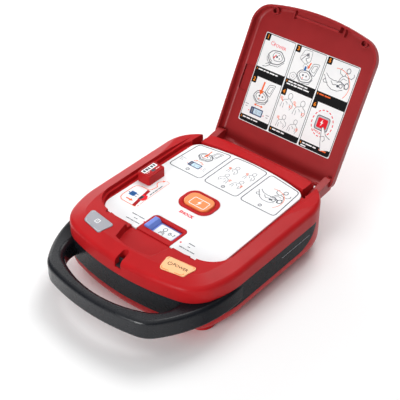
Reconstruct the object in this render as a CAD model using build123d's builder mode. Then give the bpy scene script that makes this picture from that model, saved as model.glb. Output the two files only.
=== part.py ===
from build123d import *
import os
from math import cos, radians, sin

# Public-access defibrillator with a flip-up lid and a loop handle.
# Frame: +X to the user's right, +Y away from the user towards the hinge, +Z up.
# The pieces are drawn about the middle of the case and saved about the middle of the whole object,
# with the origin on the resting surface. All sizes in millimetres.

# ---------------------------------------------------------------- driving dimensions
case_front = -135.0          # middle of the front edge of the case
case_bottom = 4.0            # underside of the case, held up by its feet
belt_bottom = 29.0
belt_top = 58.0              # also the parting line between the two case shells
crease_height = 78.5         # edge between the side wall and the sloping top of the rim
rim_height = 84.0            # highest line of the rim
panel_top = 76.0
panel_thickness = 2.4
wall = 3.0
belt_thickness = 4.0
keel_round = 24.5            # the big rounding under the lower case
crease_round = 7.0
cavity_inset = 7.5           # wall of the lower case and the belt together
whole_middle = 36.5          # middle of the whole object, front to back, with the lid open

front_arc = (318.0, 15.0)    # outline of the case: (radius, turn in degrees) from the middle of the front
corner_arc = (44.0, 55.0)
cheek_arc = (128.0, 20.0)
side_end = 82.0              # where the straight side ends
rear_corner_arc = (56.0, 80.0)
rear_turn = 10.0

hinge_y = 132.0
hinge_z = 60.0
lid_open_angle = 118.0
lid_half_width = 97.0
lid_reach = 213.8            # hinge axis to the front edge of the lid
lid_rear = 4.8               # hinge axis to the rear edge of the lid
lid_rim = 19.6               # heights above the hinge axis with the lid shut
lid_inside = 31.0
lid_outside = 34.0
lid_field = 1.0

channel_floor = 73.0
ledge_height = 78.6
deck_underside = 70.2

button_travel = 1.2
shock_travel = 2.0
fit = 0.3                    # clearance round anything that slides

panel_bed = panel_top - panel_thickness


# ---------------------------------------------------------------- shared outlines
def case_face(level, inset=0.0):
    """Plan of the case at a height: a shallow front arc, soft corners, straight sides, rounder rear."""
    with BuildSketch(Plane.XY.offset(level)) as outline:
        with BuildLine():
            front = JernArc((0, case_front), (1, 0), front_arc[0], front_arc[1])
            corner = JernArc(front @ 1, front % 1, corner_arc[0], corner_arc[1])
            cheek = JernArc(corner @ 1, corner % 1, cheek_arc[0], cheek_arc[1])
            side = Line(cheek @ 1, ((cheek @ 1).X, side_end))
            rear = JernArc(side @ 1, (0, 1), rear_corner_arc[0], rear_corner_arc[1])
            back_radius = (rear @ 1).X / sin(radians(rear_turn))
            JernArc(rear @ 1, rear % 1, back_radius, rear_turn)
            mirror(about=Plane.YZ)
        make_face()
        if inset:
            offset(amount=-inset)
    return outline.sketch


def lid_face(plane, grow=0.0):
    """Plan of the lid, measured from the hinge axis: bowed free edge, straight sides, bowed rear edge."""
    with BuildSketch(plane) as outline:
        with BuildLine():
            free_edge = JernArc((0, -lid_reach), (1, 0), 327.9, 13)
            corner = JernArc(free_edge @ 1, free_edge % 1, 30, 77)
            side = Line(corner @ 1, ((corner @ 1).X, -lid_rear - 16.7))
            rear = JernArc(side @ 1, (0, 1), 13, 85)
            JernArc(rear @ 1, rear % 1, (rear @ 1).X / sin(radians(5)), 5)
            mirror(about=Plane.YZ)
        make_face()
        if grow:
            offset(amount=grow)
    return outline.sketch


def panel_face(level, grow=0.0):
    """Plan of the white control panel: bowed rear edge, sides that close in a little to the rear."""
    with BuildSketch(Plane.XY.offset(level)) as outline:
        with BuildLine():
            front = Line((0, -75), (70, -75))
            corner = JernArc(front @ 1, (1, 0), 22, 88.8)
            side = Line(corner @ 1, (89.2, 96))
            rear = JernArc(side @ 1, side % 1, 16, 80)
            ThreePointArc(rear @ 1, (38, 118.2), (0, 120))
            mirror(about=Plane.YZ)
        make_face()
        if grow:
            offset(amount=grow)
    return outline.sketch


def key_face(level, side, grow=0.0):
    """Plan of a front key: side +1 is the power key, side -1 the information key."""
    corners = [(43 * side, -95.5), (84 * side, -90), (79 * side, -110), (48 * side, -116.5)]
    with BuildSketch(Plane.XY.offset(level)) as outline:
        with BuildLine():
            Polyline(*corners, close=True)
        make_face()
        fillet(outline.vertices(), radius=3.5)
        if grow:
            offset(amount=grow)
    return outline.sketch


def pad_face(level, width, depth, radius, centre):
    """Rounded rectangle about a centre point."""
    with BuildSketch(Plane.XY.offset(level)) as outline:
        with Locations(centre):
            RectangleRounded(width, depth, radius)
    return outline.sketch


def save(piece, name):
    """Write a finished piece as its own labelled file, about the middle of the whole object."""
    piece.part.label = name
    placed = piece.part.moved(Location((0, -whole_middle, 0)))
    placed.label = name
    export_step(placed, "parts/" + name + ".step")


os.makedirs("parts", exist_ok=True)

# ---------------------------------------------------------------- shared places
shock_centre = (0, 10.4)
shock_size = (39.0, 26.0)
shock_round = 10.0
bezel_size = (51.0, 37.5)
bezel_round = 14.0
slider_centre = (0, -55.5)
slider_size = (44.8, 22.0)
platform_half_width = 26.3
platform_rear = -39.5
socket_centre = (-81, 11.5)
socket_size = (20.0, 31.0)
screw_places = [(-98, -60), (98, -60), (-100, 52), (100, 52), (-58, 118), (58, 118)]
foot_places = [(-86, -86), (86, -86), (-84, 92), (84, 92)]
foot_radius = 17.0
bay_half_width = 44.0
contact_columns = (-10, 0, 10)
contact_height = 24.0
bay_front = 46.0
bay_floor = 8.0
bay_roof = 41.0
ear_inner = 83.5
ear_outer = 93.5
knuckle_inner = 66.0
knuckle_radius = 8.0
pin_radius = 2.5
recess_floor = 74.6
port_floor = 68.0
screw_hole = 1.7
screw_seat = 42.0
screw_grip = 8.0
board_thickness = 1.6
key_board_level = 62.4
main_board_level = 46.0
power_board_level = 12.0
speaker_centre = (-62, -12)
bezel_top = 77.4
shock_top = 79.6
shock_stem_end = 68.0
key_rise = 0.8
key_stem_end = 70.3
slider_left = -57.9
slider_right = 23.6
slider_travel = 34.4
grip_top_height = 79.0
card_middle = 4.7
second_card_middle = -38.5
card_size = (29.0, 17.4)
socket_top = 89.5
lid_wall = 3.0
latch_depth = 200.5
latch_half_width = 33.0
label_size = (149.0, 124.0)
label_middle = -106.8
capacitor_radius = 15.0
cell_radius = 8.5
cell_length = 34.5
cover_start = 124.0
key_post_places = [(-34, -82), (34, -82), (-66, 19), (66, 19)]
post_places = [(-82, -84), (82, -84), (-86, 36), (86, 36)]
short_post_places = [(-24, -40), (84, -40), (-24, 24), (76, 24)]


def seal_ring(level, height, outer_inset, inner_inset):
    """A band that follows the case between two insets, left open at the two hinge corners."""
    with BuildPart() as ring:
        extrude(case_face(level, outer_inset), amount=height)
        extrude(case_face(level, inner_inset), amount=height, mode=Mode.SUBTRACT)
        with BuildSketch(Plane.XY.offset(level)):
            with Locations((-80, 126), (80, 126)):
                Rectangle(40, 50)
        extrude(amount=height, mode=Mode.SUBTRACT)
    return ring.part


def channel_face(level):
    """Plan of the bed round the control panel, wider than the panel so that leads can lie beside it."""
    with BuildSketch(Plane.XY.offset(level)) as outline:
        with BuildLine():
            front = Line((0, -76), (66, -76))
            corner = JernArc(front @ 1, (1, 0), 31.2, 90)
            side = Line(corner @ 1, ((corner @ 1).X, 92))
            rear = JernArc(side @ 1, (0, 1), 22, 80)
            ThreePointArc(rear @ 1, (38, 119.4), (0, 121))
            mirror(about=Plane.YZ)
        make_face()
    return outline.sketch


def platform_face(level, grow=0.0):
    """Plan of the raised platform that carries the mode slider's window."""
    with BuildSketch(Plane.XY.offset(level)) as outline:
        with Locations((0, (platform_rear - 90) / 2)):
            RectangleRounded(2 * (platform_half_width + grow), 90 + platform_rear + 2 * grow, 6 + grow)
    return outline.sketch

# ---------------------------------------------------------------- carry handle and belt
# The belt is a band let into the case all the way round the front and along both sides,
# where its lower edge rises to meet the upper edge in a rounded tip.
with BuildPart() as belt_space:
    extrude(case_face(belt_bottom), amount=belt_top - belt_bottom)
    extrude(case_face(belt_bottom, belt_thickness), amount=belt_top - belt_bottom, mode=Mode.SUBTRACT)
    with BuildSketch(Plane.YZ):
        with BuildLine():
            base = Line((-145, belt_bottom), (58, belt_bottom))
            tip = TangentArc(base @ 1, (94, belt_top - 3), tangent=(1, 0))
            Polyline(tip @ 1, (93, belt_top), (-145, belt_top), base @ 0)
        make_face()
    extrude(amount=130, both=True, mode=Mode.INTERSECT)

handle_bottom = 31.0
grip_round = 7.0             # the soft edge that the fingers close round
edge_round = 5.0
arm_end = -50.0              # where the arms have run out along the sides of the case


def inside_grip(point):
    """True for a point on the finger side of the handle bar."""
    return abs(point.X) < 84.5 and point.Y > -170


with BuildPart() as carry_handle:
    with BuildSketch(Plane.XY.offset(handle_bottom)):
        with BuildLine():
            nose = JernArc((0, -186.5), (1, 0), 284, 13.5)
            bend = JernArc(nose @ 1, nose % 1, 38, 37.8)
            outer_arm = JernArc(bend @ 1, bend % 1, 156, 24)
            run_out = TangentArc(outer_arm @ 1, (119.6, arm_end), tangent=outer_arm % 1)
            inner_nose = JernArc((0, -171.5), (1, 0), 150, 26)
            inner_bend = JernArc(inner_nose @ 1, inner_nose % 1, 32, 64)
            inner_arm = Line(inner_bend @ 1, ((inner_bend @ 1).X, arm_end))
            Line(inner_arm @ 1, run_out @ 1)
            Line(nose @ 0, inner_nose @ 0)
        make_face()
        mirror(about=Plane.YZ)
    extrude(amount=belt_top - handle_bottom)
    arms = carry_handle.edges().filter_by(lambda e: e.center().Y < arm_end - 1)
    top_edges = arms.group_by(Axis.Z)[-1]
    low_edges = arms.group_by(Axis.Z)[0]
    grip_top = top_edges.filter_by(lambda e: inside_grip(e.center()))
    grip_low = low_edges.filter_by(lambda e: inside_grip(e.center()))
    fillet(grip_top, radius=grip_round)
    fillet(top_edges.filter_by(lambda e: not inside_grip(e.center())), radius=edge_round)
    fillet(grip_low, radius=edge_round)
    fillet(low_edges.filter_by(lambda e: not inside_grip(e.center())), radius=edge_round)
    extrude(case_face(0, belt_thickness), amount=100, mode=Mode.SUBTRACT)
    add(belt_space.part)
save(carry_handle, "carry_handle")

# ---------------------------------------------------------------- outer shapes of the two shells
with BuildPart() as lower_block:
    extrude(case_face(belt_bottom), amount=case_bottom - belt_bottom)
    fillet(lower_block.faces().sort_by(Axis.Z)[0].edges(), radius=keel_round)
    extrude(case_face(belt_bottom), amount=belt_top - belt_bottom)
    # moulded feet that swell out of the rounding
    with BuildSketch(Plane.XY.offset(1)):
        with Locations(*foot_places):
            Circle(foot_radius)
    extrude(amount=11)
    fillet(lower_block.faces().sort_by(Axis.Z)[:4].edges(), radius=2)

with BuildPart() as upper_block:
    extrude(case_face(belt_top), amount=rim_height - belt_top)
    rim_face = upper_block.faces().sort_by(Axis.Z)[-1]
    chamfer(rim_face.edges(), length=20, length2=rim_height - crease_height, reference=rim_face)
    fillet(upper_block.edges().filter_by_position(Axis.Z, crease_height - 0.1, crease_height + 0.1),
           radius=crease_round)
    # the rim runs down towards the hinge and rolls over the back, clear of the turning lid
    with BuildSketch(Plane.YZ):
        with BuildLine():
            fall = JernArc((30, rim_height), (1, 0), 520, -5.6)
            slope = Line(fall @ 1, (116, 78.1))
            flat = Line(slope @ 1, (130, 77.8))
            back_round = ThreePointArc(flat @ 1, (144.2, 72), (149.5, hinge_z))
            Polyline(back_round @ 1, (160, hinge_z), (160, 95), (30, 95), fall @ 0)
        make_face()
    extrude(amount=130, both=True, mode=Mode.SUBTRACT)


# ---------------------------------------------------------------- lower case
def corner_blocks(level, height, inner, outer, front):
    """The two rear corners of the case plan, as blocks between two distances from the middle."""
    with BuildPart() as blocks:
        with BuildSketch(Plane.XY.offset(level)):
            with Locations((0, (front + 150) / 2)):
                Rectangle(2 * outer, 150 - front)
                Rectangle(2 * inner, 150 - front, mode=Mode.SUBTRACT)
        extrude(amount=height)
    return blocks.part


with BuildPart() as lower_case:
    add(lower_block.part)
    # hollow inside, with a rounding that follows the outside
    with BuildPart(mode=Mode.PRIVATE) as cavity:
        extrude(case_face(belt_top, cavity_inset), amount=case_bottom + wall - belt_top)
        fillet(cavity.faces().sort_by(Axis.Z)[0].edges(), radius=keel_round - cavity_inset)
    add(cavity.part, mode=Mode.SUBTRACT)
    # closed corners that take the hinge knuckles and the lid's arms
    with BuildPart(mode=Mode.PRIVATE) as corners:
        add(corner_blocks(46, belt_top - 46, 62, 99, 102))
        add(lower_block.part, mode=Mode.INTERSECT)
    add(corners.part)
    add(corner_blocks(49.5, 20, 65.5, 83, 122.5), mode=Mode.SUBTRACT)
    add(corner_blocks(49.5, 20, 82.9, 94.4, 105.5), mode=Mode.SUBTRACT)
    # battery bay, open at the back
    with BuildPart(mode=Mode.PRIVATE) as bay:
        with BuildSketch(Plane.XY.offset(case_bottom)):
            with Locations((0, bay_front - wall + 60)):
                Rectangle(2 * (bay_half_width + wall), 120)
        extrude(amount=bay_roof + wall - case_bottom)
        add(lower_block.part, mode=Mode.INTERSECT)
    add(bay.part)
    with BuildSketch(Plane.XY.offset(bay_floor)):
        with Locations((0, bay_front + 60)):
            Rectangle(2 * bay_half_width, 120)
    extrude(amount=bay_roof - bay_floor, mode=Mode.SUBTRACT)
    with BuildSketch(Plane.XZ.offset(wall - bay_front)):
        with Locations(*[(x, contact_height) for x in contact_columns]):
            Rectangle(1.4, 7)
    extrude(amount=-wall, mode=Mode.SUBTRACT)
    # columns for the case screws, entered from below
    with BuildSketch(Plane.XY.offset(case_bottom + 4)):
        with Locations(*screw_places):
            Circle(5.5)
    extrude(amount=belt_top - case_bottom - 4)
    with Locations(*[Location((x, y, case_bottom), (180, 0, 0)) for x, y in screw_places]):
        CounterBoreHole(
            radius=screw_hole, counter_bore_radius=4.2, counter_bore_depth=screw_seat - case_bottom
        )
    # posts under the two circuit boards
    with BuildSketch(Plane.XY.offset(case_bottom + 1)):
        with Locations(*post_places):
            Circle(4)
    extrude(amount=main_board_level - case_bottom - 1)
    with BuildSketch(Plane.XY.offset(case_bottom + 1)):
        with Locations(*short_post_places):
            Circle(3)
    extrude(amount=power_board_level - case_bottom - 1)
    # shallow seats for the rubber feet
    with BuildSketch(Plane.XY.offset(1)):
        with Locations(*foot_places):
            Circle(9.5)
    extrude(amount=1.5, mode=Mode.SUBTRACT)
    # slots over the loudspeaker
    with BuildSketch(Plane.XY.offset(case_bottom - 1)):
        with Locations(speaker_centre):
            with GridLocations(6, 0, 5, 1):
                SlotOverall(30, 2.6, rotation=90)
    extrude(amount=wall + 2, mode=Mode.SUBTRACT)
    # groove for the seal
    add(seal_ring(belt_top - 1, 1.0, 5.0, 6.6), mode=Mode.SUBTRACT)
    add(carry_handle.part, mode=Mode.SUBTRACT)
save(lower_case, "lower_case")

# ---------------------------------------------------------------- upper case
with BuildPart() as upper_case:
    add(upper_block.part)
    # hollow under the deck and inside the rim, with a broad flange on the parting line
    extrude(case_face(belt_top, 8), amount=wall, mode=Mode.SUBTRACT)
    extrude(case_face(belt_top + wall, wall), amount=deck_underside - belt_top - wall, mode=Mode.SUBTRACT)
    with BuildPart(mode=Mode.PRIVATE) as rim_space:
        extrude(case_face(deck_underside - 0.1, wall), amount=5.2)
        extrude(lid_face(Plane((0, hinge_y, deck_underside - 1)), 6.2), amount=10, mode=Mode.SUBTRACT)
        with BuildSketch(Plane.XY.offset(deck_underside - 1)):
            Rectangle(80, 300)
            with Locations((0, 130)):
                Rectangle(260, 70)
        extrude(amount=10, mode=Mode.SUBTRACT)
    add(rim_space.part, mode=Mode.SUBTRACT)
    # blocks that the front port and the lid's arms are cut into
    with BuildSketch(Plane.XY.offset(belt_top)):
        with Locations((0, -121)):
            Rectangle(18, 22)
    extrude(amount=76 - belt_top)
    with BuildPart(mode=Mode.PRIVATE) as corner_walls:
        add(corner_blocks(belt_top, 75 - belt_top, 62.5, 98, 102))
        add(upper_block.part, mode=Mode.INTERSECT)
    add(corner_walls.part)
    # bosses for the case screws
    with BuildSketch(Plane.XY.offset(belt_top)):
        with Locations(*screw_places):
            Circle(4.8)
    extrude(amount=deck_underside - belt_top + 0.4)
    # room for the lid, its ledge, and the bed of the control panel with the lead channel beside it
    extrude(lid_face(Plane((0, hinge_y, ledge_height)), 3.5), amount=20, mode=Mode.SUBTRACT)
    extrude(channel_face(channel_floor), amount=20, mode=Mode.SUBTRACT)
    extrude(panel_face(channel_floor), amount=panel_bed - channel_floor)
    # platform round the mode slider
    extrude(platform_face(channel_floor), amount=panel_top + 0.2 - channel_floor)
    # finger recess in front of the lid
    with BuildSketch(Plane.XY.offset(recess_floor)):
        with BuildLine():
            recess_front = ThreePointArc((-27, -107), (0, -111), (27, -107))
            Polyline(
                recess_front @ 1, (32.7, -87), (32.7, -74.5), (-32.7, -74.5), (-32.7, -87), recess_front @ 0
            )
        make_face()
    extrude(amount=15, taper=-8, mode=Mode.SUBTRACT)
    # front port: a slot that runs from the top of the rim down the front wall
    with BuildSketch(Plane.XY.offset(port_floor)):
        with Locations((0, -134)):
            Rectangle(9, 25)
        with Locations((0, -121.5)):
            Circle(4.5)
    extrude(amount=30, mode=Mode.SUBTRACT)
    # keys, shock button, slider and lead openings
    for side in (-1, 1):
        extrude(key_face(belt_top + 5, side, 3), amount=80.3 - belt_top - 5, mode=Mode.SUBTRACT)
        extrude(key_face(belt_top + 5, side, fit), amount=30, mode=Mode.SUBTRACT)
    shock_hole = (shock_size[0] + 2 * fit, shock_size[1] + 2 * fit)
    extrude(pad_face(60, *shock_hole, shock_round + fit, shock_centre), amount=20, mode=Mode.SUBTRACT)
    extrude(pad_face(60, 117, 22.8, 1, slider_centre), amount=panel_bed - 60, mode=Mode.SUBTRACT)
    extrude(pad_face(60, *slider_size, 1.5, slider_centre), amount=30, mode=Mode.SUBTRACT)
    extrude(pad_face(60, 9, 9, 2, socket_centre), amount=20, mode=Mode.SUBTRACT)
    # snap notches in the ledge
    with BuildSketch(Plane.XY.offset(ledge_height - 4)):
        with Locations((-67, -79.6), (67, -79.6)):
            RectangleRounded(8, 5, 1.5)
    extrude(amount=10, mode=Mode.SUBTRACT)
    # hinge knuckles, then the slots for the lid's arms and the pin bores
    for side in (-1, 1):
        with BuildSketch(Plane.YZ.offset(side * (knuckle_inner + ear_inner - 0.6) / 2)):
            with Locations((hinge_y, hinge_z)):
                Circle(knuckle_radius)
            with Locations((hinge_y - 1, hinge_z + 6)):
                Rectangle(14, 12)
        extrude(amount=(ear_inner - 0.6 - knuckle_inner) / 2, both=True)
    add(corner_blocks(50, 60, ear_inner - 0.6, ear_outer + 0.6, 105.5), mode=Mode.SUBTRACT)
    with BuildSketch(Plane.YZ):
        with Locations((hinge_y, hinge_z)):
            Circle(pin_radius)
    extrude(amount=ear_inner, both=True, mode=Mode.SUBTRACT)
    # pilot holes for the screws
    with BuildSketch(Plane.XY.offset(belt_top)):
        with Locations(*screw_places):
            Circle(screw_hole)
    extrude(amount=screw_grip + 0.5, mode=Mode.SUBTRACT)
    # posts that hold the key board up against the deck
    with BuildSketch(Plane.XY.offset(key_board_level + board_thickness)):
        with Locations(*key_post_places):
            Circle(3)
    extrude(amount=deck_underside - key_board_level - board_thickness + 0.4)
save(upper_case, "upper_case")

# ---------------------------------------------------------------- small root pieces on the shells
with BuildPart() as case_seal:
    add(seal_ring(belt_top - 1, 1.0, 5.05, 6.55))
save(case_seal, "case_seal")

with BuildPart() as case_screws:
    with BuildSketch(Plane.XY.offset(screw_seat)):
        with Locations(*screw_places):
            Circle(1.6)
    extrude(amount=belt_top + screw_grip - screw_seat)
    with BuildSketch(Plane.XY.offset(screw_seat)):
        with Locations(*screw_places):
            Circle(3.8)
    extrude(amount=-2.6)
    with BuildSketch(Plane.XY.offset(screw_seat - 2.6)):
        with Locations(*screw_places):
            RegularPolygon(1.7, 6)
    extrude(amount=1.4, mode=Mode.SUBTRACT)
save(case_screws, "case_screws")

with BuildPart() as rubber_feet:
    with BuildSketch():
        with Locations(*foot_places):
            Circle(9.4)
    extrude(amount=2.5)
    chamfer(rubber_feet.faces().sort_by(Axis.Z)[:4].edges(), length=0.7)
save(rubber_feet, "rubber_feet")

with BuildPart() as ir_window:
    # dark floor of the port, and the upright lens in front of the receiver
    with BuildSketch(Plane.XY.offset(port_floor)):
        with Locations((0, -127.6)):
            Rectangle(8.8, 12.4)
        with Locations((0, -121.5)):
            Circle(4.4)
    extrude(amount=2)
    with BuildSketch(Plane.XY.offset(port_floor)):
        with Locations((0, -126.5)):
            Rectangle(8.8, 1.6)
    extrude(amount=8.5)
save(ir_window, "ir_window")

# Each hinge pin is pressed into a knuckle of the upper case and turns in the lid's arm.
with BuildPart() as hinge_pins:
    for side in (-1, 1):
        with BuildSketch(Plane.YZ.offset(side * knuckle_inner)):
            with Locations((hinge_y, hinge_z)):
                Circle(pin_radius)
        extrude(amount=side * (ear_outer - 0.3 - knuckle_inner))
    chamfer(hinge_pins.edges().filter_by(GeomType.CIRCLE), length=0.4)
save(hinge_pins, "hinge_pins")

# ---------------------------------------------------------------- control panel, shock button and keys
with BuildPart() as control_panel:
    extrude(panel_face(panel_bed), amount=panel_thickness)
    chamfer(control_panel.faces().sort_by(Axis.Z)[-1].edges(), length=0.5)
    extrude(platform_face(panel_bed, 0.4), amount=panel_thickness, mode=Mode.SUBTRACT)
    extrude(
        pad_face(panel_bed, *bezel_size, bezel_round, shock_centre), amount=panel_thickness, mode=Mode.SUBTRACT
    )
    extrude(pad_face(panel_bed, *socket_size, 3, socket_centre), amount=panel_thickness, mode=Mode.SUBTRACT)
save(control_panel, "control_panel")

with BuildPart() as shock_bezel:
    extrude(pad_face(panel_bed, *bezel_size, bezel_round, shock_centre), amount=bezel_top - panel_bed)
    fillet(shock_bezel.faces().sort_by(Axis.Z)[-1].edges(), radius=0.8)
    inner_size = (shock_size[0] + 2 * fit, shock_size[1] + 2 * fit)
    extrude(pad_face(panel_bed, *inner_size, shock_round + fit, shock_centre), amount=10, mode=Mode.SUBTRACT)
    mouth = shock_bezel.faces().filter_by(Axis.Z).sort_by(Axis.Z)[-1].inner_wires()[0]
    chamfer(mouth.edges(), length=1.4)
save(shock_bezel, "shock_bezel")

with BuildPart() as shock_button:
    extrude(pad_face(deck_underside - 0.2, *shock_size, shock_round, shock_centre),
            amount=shock_top - deck_underside + 0.2)
    fillet(shock_button.faces().sort_by(Axis.Z)[-1].edges(), radius=1.8)
    # skirt that keeps the button in the deck, and the stem that closes the switch
    skirt_size = (shock_size[0] + 4, shock_size[1] + 4)
    extrude(pad_face(deck_underside - 0.2, *skirt_size, shock_round + 2, shock_centre), amount=-1.8)
    extrude(pad_face(deck_underside, shock_size[0] - 5, shock_size[1] - 5, 6, shock_centre), amount=6,
            mode=Mode.SUBTRACT)
    with BuildSketch(Plane.XY.offset(shock_stem_end)):
        with Locations(shock_centre):
            Circle(3)
    extrude(amount=shock_top - 4 - shock_stem_end)
save(shock_button, "shock_button")

key_middle = (63.5, -103.0)
for side, name in ((1, "power_button"), (-1, "info_button")):
    with BuildPart() as key:
        extrude(key_face(78.2, side), amount=10)
        # the cap follows the slope of the rim and stands a little above it
        add(upper_block.part.moved(Location((0, 0, key_rise))), mode=Mode.INTERSECT)
        extrude(key_face(78.2, side, 1.8), amount=1.8)
        with BuildSketch(Plane.XY.offset(key_stem_end)):
            with Locations((side * key_middle[0], key_middle[1])):
                Circle(2.5)
        extrude(amount=80 - key_stem_end)
    save(key, name)

# ---------------------------------------------------------------- patient mode slider
slider_floor = 71.4
slider_plate = 1.5
card_thickness = 0.35
grip_left = slider_centre[0] - slider_size[0] / 2 + fit
grip_width = 9.8

with BuildPart() as mode_guide:
    extrude(pad_face(deck_underside - 1.5, 125, 31, 2, slider_centre), amount=1.5)
    extrude(
        pad_face(deck_underside, 116.4, 22.2, 0.8, slider_centre), amount=slider_floor - 0.3 - deck_underside
    )
save(mode_guide, "mode_guide")

with BuildPart() as mode_slider:
    with BuildSketch(Plane.XY.offset(slider_floor)):
        with Locations(((slider_left + slider_right) / 2, slider_centre[1])):
            RectangleRounded(slider_right - slider_left, 21.6, 1.2)
    extrude(amount=slider_plate)
    # grip bar with a slope down to the card beside it
    with BuildSketch(Plane.XZ.offset(10.4 - slider_centre[1])):
        with BuildLine():
            Polyline(
                (grip_left, slider_floor + 1),
                (grip_left, grip_top_height),
                (grip_left + 6.4, grip_top_height),
                (grip_left + grip_width, slider_floor + 2.6),
                (grip_left + grip_width, slider_floor + 1),
                close=True,
            )
        make_face()
    extrude(amount=-20.8)
    fillet(mode_slider.faces().sort_by(Axis.Z)[-1].edges(), radius=1.3)
    with BuildSketch(Plane.XY.offset(slider_floor)):
        with Locations((grip_left + grip_width / 2, slider_centre[1])):
            Circle(3)
    extrude(amount=3.2, mode=Mode.SUBTRACT)
save(mode_slider, "mode_slider")

with BuildPart() as slider_magnet:
    with BuildSketch(Plane.XY.offset(slider_floor)):
        with Locations((grip_left + grip_width / 2, slider_centre[1])):
            Circle(2.9)
    extrude(amount=3)
save(slider_magnet, "slider_magnet")

with BuildPart() as mode_cards:
    with BuildSketch(Plane.XY.offset(slider_floor + slider_plate)):
        with Locations((card_middle, slider_centre[1]), (second_card_middle, slider_centre[1])):
            RectangleRounded(*card_size, 2)
    extrude(amount=card_thickness)
save(mode_cards, "mode_cards")

# ---------------------------------------------------------------- electrode socket
socket_rear = socket_centre[1] + socket_size[1] / 2
with BuildPart() as connector_housing:
    extrude(pad_face(panel_bed, *socket_size, 3, socket_centre), amount=socket_top - panel_bed)
    fillet(connector_housing.faces().sort_by(Axis.Z)[-1].edges(), radius=1.2)
    # the socket, open to the rear, with the keyway that stops a plug going in upside down
    with BuildSketch(Plane.XZ.offset(-socket_rear)):
        with Locations((socket_centre[0], 82)):
            RectangleRounded(14, 9, 1.5)
        with Locations((socket_centre[0], 77.2)):
            Rectangle(4, 2)
    extrude(amount=21, mode=Mode.SUBTRACT)
    extrude(pad_face(panel_bed, 9, 5, 1, (socket_centre[0], 9.8)), amount=8, mode=Mode.SUBTRACT)
    extrude(pad_face(socket_top - 0.6, 16.6, 27.6, 2.5, socket_centre), amount=2, mode=Mode.SUBTRACT)
save(connector_housing, "connector_housing")

with BuildPart() as connector_label:
    extrude(pad_face(socket_top - 0.6, 15.4, 26.4, 2, socket_centre), amount=0.6)
save(connector_label, "connector_label")

with BuildPart() as connector_contacts:
    for contact in (-3.5, 0, 3.5):
        with BuildSketch(Plane.YZ.offset(socket_centre[0] + contact - 0.6)):
            with BuildLine():
                Polyline((8.6, 64), (8.6, 83), (22, 83), (22, 81), (10.8, 81), (10.8, 64), close=True)
            make_face()
        extrude(amount=1.2)
save(connector_contacts, "connector_contacts")

# ---------------------------------------------------------------- lid, drawn open
# Heights in the lid's own plane are heights above the hinge axis when the lid is shut.
lid_plane = Plane(
    origin=(0, hinge_y, hinge_z),
    x_dir=(1, 0, 0),
    z_dir=(0, sin(radians(lid_open_angle)), cos(radians(lid_open_angle))),
)
lid_up = Axis(lid_plane.origin, lid_plane.z_dir)


def lid_level(height):
    """The plane parallel to the lid at a height above the hinge axis."""
    return lid_plane.offset(height)


def arm_plane(distance):
    """Plane across the hinge axis, with the lid's own depth and height as its directions."""
    return Plane(origin=(distance, hinge_y, hinge_z), x_dir=lid_plane.y_dir, z_dir=(1, 0, 0))


with BuildPart() as lid:
    extrude(lid_face(lid_level(lid_rim)), amount=lid_outside - lid_rim)
    fillet(lid.faces().sort_by(lid_up)[-1].edges(), radius=8)
    extrude(lid_face(lid_level(lid_outside), -16), amount=lid_field)
    chamfer(lid.faces().sort_by(lid_up)[-1].edges(), length=0.9)
    extrude(lid_face(lid_level(lid_rim), -lid_wall), amount=lid_inside - lid_rim, mode=Mode.SUBTRACT)
    roof = lid.faces().filter_by(lid_up).sort_by(lid_up)[1]
    fillet(roof.edges(), radius=5)
    # latch: a ribbed block with a lip that snaps over the finger recess
    with BuildSketch(lid_level(21.6)):
        with Locations((0, -(latch_depth + lid_reach - 2.8) / 2)):
            Rectangle(2 * latch_half_width, lid_reach - 2.8 - latch_depth)
    extrude(amount=lid_inside - 21.6 + 0.5)
    with BuildSketch(lid_level(lid_rim)):
        with Locations((0, -latch_depth - 1.2)):
            RectangleRounded(2 * latch_half_width, 2.6, 1)
    extrude(amount=3)
    with BuildSketch(lid_level(24)):
        with Locations((-latch_half_width - 6, -204), (latch_half_width + 6, -204)):
            Rectangle(1.8, 14)
    extrude(amount=lid_inside - 24 + 0.5)
    # bosses beside the latch
    with BuildSketch(lid_level(24.6)):
        with Locations((-69, -198.8), (69, -198.8)):
            Circle(5.35)
            Circle(3.3, mode=Mode.SUBTRACT)
    extrude(amount=lid_inside - 24.6 + 0.3)
    # relief over the plugged-in electrode lead
    with BuildSketch(lid_level(lid_inside)):
        with Locations((-83, -101.5)):
            RectangleRounded(15, 37, 5)
    extrude(amount=1.6, mode=Mode.SUBTRACT)
    # arms that carry the lid round the hinge
    for start in (-ear_outer, ear_inner):
        with BuildSketch(arm_plane(start)):
            Circle(knuckle_radius)
            with BuildLine():
                Polyline((8, 0), (-10, 28), (-24, 28), (-24, 20), (-8, 0), close=True)
            make_face()
            Circle(pin_radius + 0.05, mode=Mode.SUBTRACT)
        extrude(amount=ear_outer - ear_inner)
save(lid, "lid")

with BuildPart() as lid_label:
    with BuildSketch(lid_level(lid_inside - 0.4)):
        with Locations((0, label_middle)):
            RectangleRounded(*label_size, 2)
    extrude(amount=0.4)
save(lid_label, "lid_label")

# ---------------------------------------------------------------- electronics
with BuildPart() as key_board:
    with BuildSketch(Plane.XY.offset(key_board_level)):
        with Locations((0, -44)):
            RectangleRounded(168, 140, 6)
        with Locations((0, -112)):
            Rectangle(19, 12, mode=Mode.SUBTRACT)
    extrude(amount=board_thickness)
    # connectors and the two sensors that read the slider's magnet
    with BuildSketch(Plane.XY.offset(key_board_level)):
        with Locations((-40, 10), (40, 10)):
            Rectangle(14, 6)
    extrude(amount=-5)
    with BuildSketch(Plane.XY.offset(key_board_level + board_thickness)):
        with Locations((grip_left + grip_width / 2, slider_centre[1]),
                       (grip_left + grip_width / 2 + slider_travel, slider_centre[1])):
            Rectangle(4, 3)
    extrude(amount=1.2)
save(key_board, "key_board")

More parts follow.
